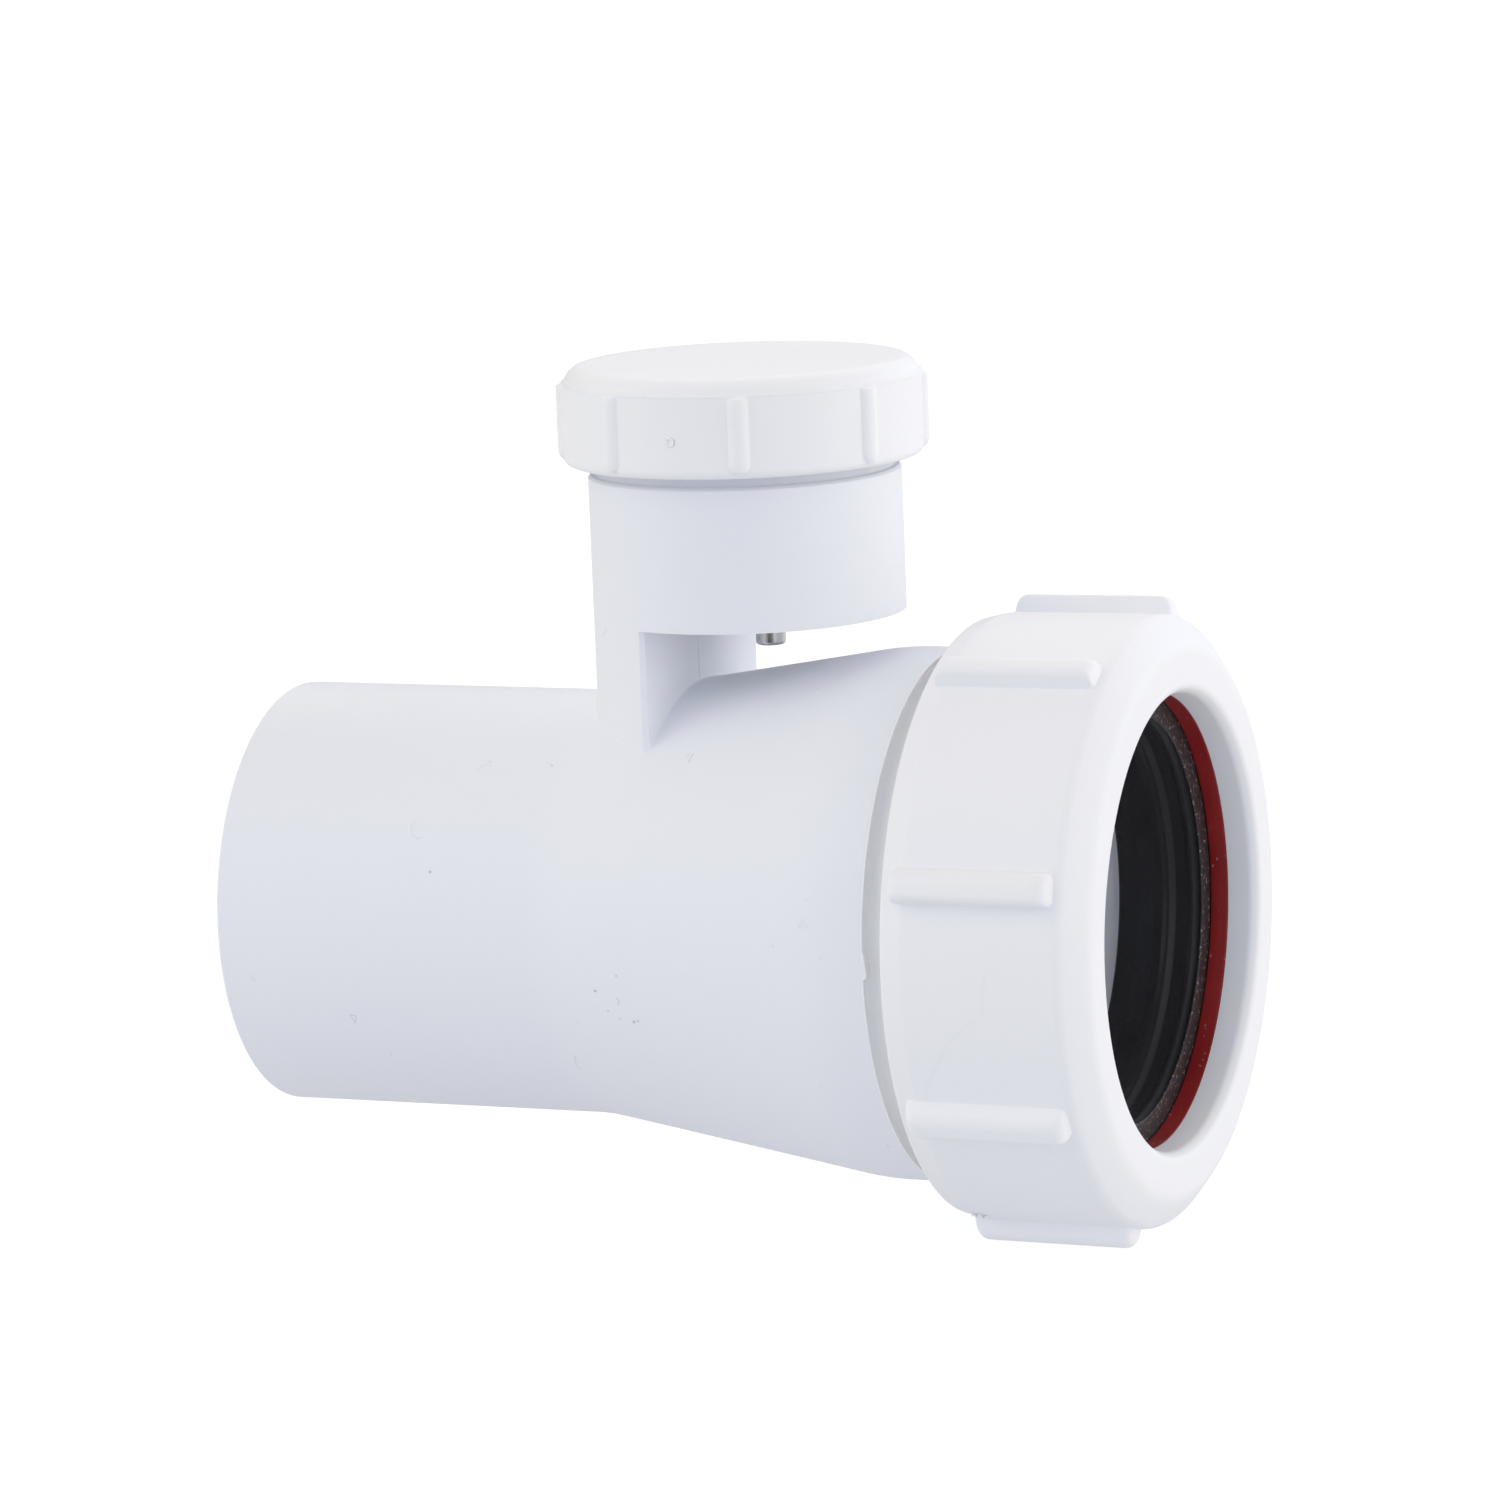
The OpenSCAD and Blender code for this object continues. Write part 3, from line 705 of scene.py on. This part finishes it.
# ---------------------------------------------------------------- foot of the air duct: a small rolled fillet all round
def build_foot(rho=0.3):
    x0, R = 48.3, 14.95
    face, yf = 43.05, 13.5
    # plan outline of the duct, from the far end of the face round the back to its near end, with outward normals
    a_end = math.atan2(13.82, 42.58 - x0)
    arc = np.linspace(a_end, TAU - a_end, 150)
    pts = [(x0 + R * math.cos(a), R * math.sin(a)) for a in arc]
    nor = [(math.cos(a), math.sin(a)) for a in arc]
    flat = np.array([face - 42.58, -(13.82 - yf)])
    flat_n = np.array([0.32, 0.47]) / math.hypot(0.32, 0.47)

    def corner(p, n0, n1, k=7):
        t0, t1 = math.atan2(n0[1], n0[0]), math.atan2(n1[1], n1[0])
        d = (t1 - t0 + math.pi) % TAU - math.pi
        for j in range(k + 1):
            t = t0 + d * j / k
            pts.append(p)
            nor.append((math.cos(t), math.sin(t)))

    lower_n = (flat_n[0], -flat_n[1])
    corner((42.58, -13.82), nor[-1], lower_n)
    corner((face, -yf), lower_n, (1.0, 0.0))
    for y in np.linspace(-yf, yf, 60)[1:-1]:
        pts.append((face, y))
        nor.append((1.0, 0.0))
    corner((face, yf), (1.0, 0.0), tuple(flat_n))
    corner((42.58, 13.82), tuple(flat_n), (math.cos(a_end), math.sin(a_end)))
    P, N = np.array(pts), np.array(nor)
    keep = [0]
    for k in range(1, len(P)):
        if np.hypot(*(P[k] + rho * N[k] - P[keep[-1]] - rho * N[keep[-1]])) > 0.02:
            keep.append(k)
    P, N = P[keep], N[keep]
    C = P + rho * N
    # skin of the pipe as a profile of radius against x, offset by rho
    skin = np.array(soft([(0, 20.5), (34, 20.5, 18), (63.2, 25.4, 25), (68.7, 25.4)], 16)[0:])
    skin = skin[(skin[:, 0] >= 0)]

    def pipe_dist(x, y, z):
        q = np.hypot(y, z)
        best = np.full(x.shape, 1e9)
        gx, gr = np.zeros(x.shape), np.ones(x.shape)
        for (ax, ar), (bx, br) in zip(skin[:-1], skin[1:]):
            dx, dr = bx - ax, br - ar
            t = np.clip(((x - ax) * dx + (q - ar) * dr) / (dx * dx + dr * dr), 0, 1)
            ex, er = x - ax - t * dx, q - ar - t * dr
            d = np.hypot(ex, er)
            m = d < best
            best = np.where(m, d, best)
            gx = np.where(m, ex / np.maximum(d, 1e-9), gx)
            gr = np.where(m, er / np.maximum(d, 1e-9), gr)
        return best, gx, gr, q

    lo, hi = np.full(len(C), 10.0), np.full(len(C), 30.0)
    base = np.interp(C[:, 0], skin[:, 0], skin[:, 1])
    lo = np.sqrt(np.maximum(base ** 2 - C[:, 1] ** 2, 0)) * 0 + 12.0
    for _ in range(48):
        mid = (lo + hi) / 2
        q = np.hypot(C[:, 1], mid)
        d, gx, gr, _q = pipe_dist(C[:, 0], C[:, 1], mid)
        inside = (q < base) | (d < rho)
        lo, hi = np.where(inside, mid, lo), np.where(inside, hi, mid)
    z = (lo + hi) / 2
    d, gx, gr, q = pipe_dist(C[:, 0], C[:, 1], z)
    centre = np.stack([C[:, 0], C[:, 1], z], -1)
    down = np.stack([-gx, -gr * C[:, 1] / q, -gr * z / q], -1)
    wall = np.stack([-N[:, 0], -N[:, 1], 0 * z], -1)
    rows = []
    n_arc = 8
    cosw = np.clip((down * wall).sum(1), -1, 1)
    w = np.arccos(cosw)
    sw = np.sin(w)
    for k in range(n_arc + 1):
        t = -0.06 + 1.12 * k / n_arc
        d_k = (np.sin((1 - t) * w) / sw)[:, None] * wall + (np.sin(t * w) / sw)[:, None] * down
        rows.append(centre + rho * d_k)
    # closed at the back, inside the duct and the pipe
    rows.append(centre + rho * down + 0.35 * down + 0.25 * wall)
    rows.append(centre + rho * (down + wall) + 0.35 * down + 0.35 * wall)
    rows.append(centre + rho * wall + 0.35 * wall + 0.25 * down)
    v = np.stack(rows, 1)
    return v.reshape(-1, 3), grid_faces(v.shape[0], v.shape[1])


v, f = build_foot()
mesh_object("duct_foot_fillet", v, f, "main_body", body_mat, angle=60)


# ---------------------------------------------------------------- what the moulds left on the body
def tab_reach(th):
    """How far the cut-off gate stands out of the shoulder at th, in mm: it grows from its upper end and stops short at its lower one."""
    t = (th - math.radians(87.4)) / math.radians(5.7)
    end = np.clip(np.minimum(t / 0.12, (1 - t) / 0.17), 0, 1)
    return 0.33 * np.sqrt(1 - (1 - end) ** 2) * (0.3 + 0.7 * step(t / 0.8)) * (end > 0)


def build_gate():
    th = np.radians(np.linspace(87.4, 93.1, 41))
    sec = [(68.4, 24.5), (68.66, 24.5), (68.72, 24.56), (68.72, 24.9), (68.72, 25.2), (68.69, 25.34), (68.6, 25.41), (68.4, 25.42)]
    reach = tab_reach(th)
    rows = []
    for k in range(len(th)):
        x = np.array([a if a < 68.5 else a + reach[k] for a, _ in sec])
        rows.append(about_x(np.array([b for _, b in sec]), x, np.full(len(sec), th[k])))
    v = np.stack(rows, 0)
    n, m = v.shape[:2]
    faces = grid_faces(n, m, wrap_u=False) + [tuple(range(m)), tuple(reversed(range((n - 1) * m, n * m)))]
    return v.reshape(-1, 3), faces


def build_flash():
    """The thin flash that the mould left all round the shoulder's edge, and round the gate's tab."""
    th = np.unique(np.concatenate([np.linspace(0, TAU, 480, endpoint=False), np.radians(np.linspace(87, 93.5, 66))]))
    tall = 0.75 + 0.25 * np.sin(5.3 * th + 1) * np.sin(2.1 * th)
    x0 = 68.62 + tab_reach(th)
    rows = []
    for j in range(8):
        q = TAU * j / 8
        rows.append(about_x(25.34 + (0.07 + 0.02 * tall) * math.cos(q), x0 + 0.1 * math.sin(q), th))
    v = np.stack(rows, 1)
    return v.reshape(-1, 3), grid_faces(v.shape[0], v.shape[1])


def build_shoulder_fillet():
    """The hollow where the shoulder's face runs into the socket."""
    sec = soft([(25.2, 68.55), (25.2, 68.72), (23.98, 68.72, 1.0), (23.98, 70.2), (23.75, 70.2), (23.75, 68.55)], 9)
    th = np.arange(288) * TAU / 288
    v = np.stack([about_x(r, x, th) for r, x in sec], 0)
    return v.reshape(-1, 3), grid_faces(len(sec), 288)


v, f = build_shoulder_fillet()
mesh_object("shoulder_fillet", v, f, "main_body", body_mat, angle=60)
v, f = build_gate()
mesh_object("shoulder_gate_tab", v, f, "main_body", body_mat, angle=50)
v, f = build_flash()
mesh_object("shoulder_flash", v, f, "main_body", body_mat, angle=70)


def build_parting():
    """The line where the slides of the mould met, up the flat face of the air duct."""
    y0, face = -0.72, 43.05
    sec = [(-0.16, -0.1), (-0.11, 0.0), (-0.045, 0.045), (0.0, 0.06), (0.045, 0.045), (0.11, 0.0), (0.16, -0.1)]
    rows = []
    zs = np.linspace(21.85, 28.9, 60)
    for k, z in enumerate(zs):
        side = 0.02 * math.sin(1.9 * z) + 0.012 * math.sin(5.3 * z)
        tall = 0.85 + 0.15 * math.sin(3.1 * z + 0.7)
        rows.append([(face + h * (tall if h > 0 else 1), y0 + side + w, z) for w, h in sec])
    v = np.array(rows)
    n, m = v.shape[:2]
    faces = grid_faces(n, m, wrap_u=False) + [tuple(range(m)), tuple(reversed(range((n - 1) * m, n * m)))]
    return v.reshape(-1, 3), faces


v, f = build_parting()
mesh_object("duct_parting_line", v, f, "main_body", body_mat, angle=60)

# ---------------------------------------------------------------- stage, light and camera
scene = bpy.context.scene
floor_z = float(cad_low[2]) - 0.00002
BOUNCE = 0.3
# light that comes up through the table: its colour, and darker pools in it: place on the floor, radius, colour taken away
GLOW = (0.486, 0.490, 0.518)
POOLS = [
    ((0.075, -0.5), 0.28, (0.425, 0.428, 0.453)),
    ((0.1, -0.32), 0.11, (0.145, 0.145, 0.15)),
    ((0.012, 0.005), 0.03, (0.065, 0.065, 0.065)),
]
# a matt black card on the table in front of the part: middle, half length across the view, half depth along it
CARD = ((0.16, -0.317), 0.15, 0.075)
# soft light from all round, as pairs of large boxes give it: direction, sharpness, colour.
# No sharpness is a whole number, so that the power is 0 on a light's far side.
SOFT = [
    ("front_low", (0.386, -0.917, 0.105), 5.99, (0.423, 0.622, 0.858)),
    ("front_right_low", (0.921, -0.376, 0.105), 5.99, (1.268, 1.176, 1.148)),
    ("right_low", (0.917, 0.386, 0.105), 5.99, (1.553, 1.464, 1.142)),
    ("rear_right_low", (0.376, 0.921, 0.105), 5.99, (1.075, 1.212, 1.658)),
    ("left_low", (-0.917, -0.386, 0.105), 5.99, (1.688, 1.700, 1.571)),
    ("right_high", (0.702, -0.088, 0.707), 5.99, (0.538, 0.533, 0.564)),
    ("rear_high", (-0.274, 0.652, 0.707), 5.99, (1.496, 1.473, 1.414)),
    ("left_high", (-0.427, -0.564, 0.707), 5.99, (1.344, 1.242, 1.206)),
]


def floor_material():
    """Pale table. It looks near white, and lights the part from below in soft pools, as a lit acrylic table does."""
    m, nt, p = material("studio_floor")
    out = [n for n in nt.nodes if n.type == "OUTPUT_MATERIAL"][0]
    p.inputs["Base Color"].default_value = (0.3, 0.3, 0.305, 1)
    p.inputs["Roughness"].default_value = 0.9
    p.inputs["Emission Color"].default_value = (1, 1, 1, 1)
    p.inputs["Emission Strength"].default_value = 0.8
    low = node(nt, "ShaderNodeBsdfDiffuse")
    where = place(nt)
    (cx, cy), half, deep = CARD
    rel = vector_node(nt, "SUBTRACT", where, (cx - 0.045, cy, 0.0))
    across = vector_node(nt, "DOT_PRODUCT", rel, (0.922 / half, 0.388 / half, 0.0))
    along = vector_node(nt, "DOT_PRODUCT", rel, (0.388 / deep, -0.922 / deep, 0.0))
    far = math_node(nt, "MULTIPLY_ADD", across, across, math_node(nt, "MULTIPLY", along, along))
    card = math_node(nt, "EXPONENT", math_node(nt, "MULTIPLY", math_node(nt, "MULTIPLY", far, far), -1.0))
    bare = math_node(nt, "SUBTRACT", 1.0, card)
    pale = node(nt, "ShaderNodeVectorMath", operation="SCALE")
    pale.inputs[0].default_value = (BOUNCE, BOUNCE, BOUNCE * 1.01)
    nt.links.new(bare, pale.inputs["Scale"])
    nt.links.new(pale.outputs[0], low.inputs["Color"])
    light = GLOW
    for at, radius, color in POOLS:
        away = vector_node(nt, "DISTANCE", where, (at[0] - 0.045, at[1], 0.0))
        part = math_node(nt, "EXPONENT", math_node(nt, "MULTIPLY", math_node(nt, "MULTIPLY", away, away), -1.0 / radius ** 2))
        tint = node(nt, "ShaderNodeVectorMath", operation="SCALE")
        tint.inputs[0].default_value = color
        nt.links.new(part, tint.inputs["Scale"])
        light = vector_node(nt, "SUBTRACT", light, tint.outputs[0])
    glow = node(nt, "ShaderNodeEmission")
    nt.links.new(light, glow.inputs["Color"])
    nt.links.new(bare, glow.inputs["Strength"])
    both = node(nt, "ShaderNodeAddShader")
    nt.links.new(low.outputs[0], both.inputs[0])
    nt.links.new(glow.outputs[0], both.inputs[1])
    path = node(nt, "ShaderNodeLightPath")
    pick = node(nt, "ShaderNodeMixShader")
    nt.links.new(path.outputs["Is Camera Ray"], pick.inputs[0])
    nt.links.new(both.outputs[0], pick.inputs[1])
    nt.links.new(p.outputs[0], pick.inputs[2])
    nt.links.new(pick.outputs[0], out.inputs[0])
    return m


s = 4.0
me = bpy.data.meshes.new("studio_floor")
me.from_pydata([(-s, -s, 0), (s, -s, 0), (s, s, 0), (-s, s, 0)], [], [(0, 1, 2, 3)])
floor = bpy.data.objects.new("studio_floor", me)
floor.location = (0.045, 0, floor_z)
me.materials.append(floor_material())
scene.collection.objects.link(floor)

world = bpy.data.worlds.new("studio_world")
scene.world = world
world.use_nodes = True
wn = world.node_tree
wn.nodes.clear()
w_out = wn.nodes.new("ShaderNodeOutputWorld")
sky = wn.nodes.new("ShaderNodeBackground")
sky.inputs["Strength"].default_value = 1.0
ray_way = wn.nodes.new("ShaderNodeTexCoord").outputs["Generated"]
light_sum = None
for name, way, sharp, color in SOFT:
    n = Vector(way).normalized()
    tint = wn.nodes.new("ShaderNodeVectorMath")
    tint.operation = "SCALE"
    tint.inputs[0].default_value = color
    wn.links.new(math_node(wn, "POWER", vector_node(wn, "DOT_PRODUCT", ray_way, tuple(n)), sharp), tint.inputs["Scale"])
    light_sum = tint.outputs[0] if light_sum is None else vector_node(wn, "ADD", light_sum, tint.outputs[0])
wn.links.new(light_sum, sky.inputs["Color"])
seen = wn.nodes.new("ShaderNodeBackground")
seen.inputs["Color"].default_value = (1, 1, 1, 1)
seen.inputs["Strength"].default_value = 1.05
ray = wn.nodes.new("ShaderNodeLightPath")
blend = wn.nodes.new("ShaderNodeMixShader")
wn.links.new(ray.outputs["Is Camera Ray"], blend.inputs[0])
wn.links.new(sky.outputs[0], blend.inputs[1])
wn.links.new(seen.outputs[0], blend.inputs[2])
wn.links.new(blend.outputs[0], w_out.inputs[0])

camera_data = bpy.data.cameras.new("camera")
camera_data.sensor_fit = "HORIZONTAL"
camera_data.sensor_width = 36.0
camera_data.lens = 7303.2 / 1500 * 36.0
camera_data.clip_start, camera_data.clip_end = 0.01, 20.0
camera = bpy.data.objects.new("camera", camera_data)
right = Vector((0.92345113, 0.38169359, -0.03934485))
up = Vector((-0.02698616, 0.16688507, 0.98560698))
back = Vector((0.38276593, -0.90909811, 0.16441066))
turn = Matrix((right, up, back)).transposed().to_4x4()
camera.matrix_world = Matrix.Translation(Vector((315.5234, -636.1617, 130.2834)) * MM) @ turn
scene.collection.objects.link(camera)
scene.camera = camera

scene.view_settings.view_transform = "Standard"
scene.view_settings.look = "None"
scene.view_settings.exposure = 0.0
scene.view_settings.gamma = 1.0
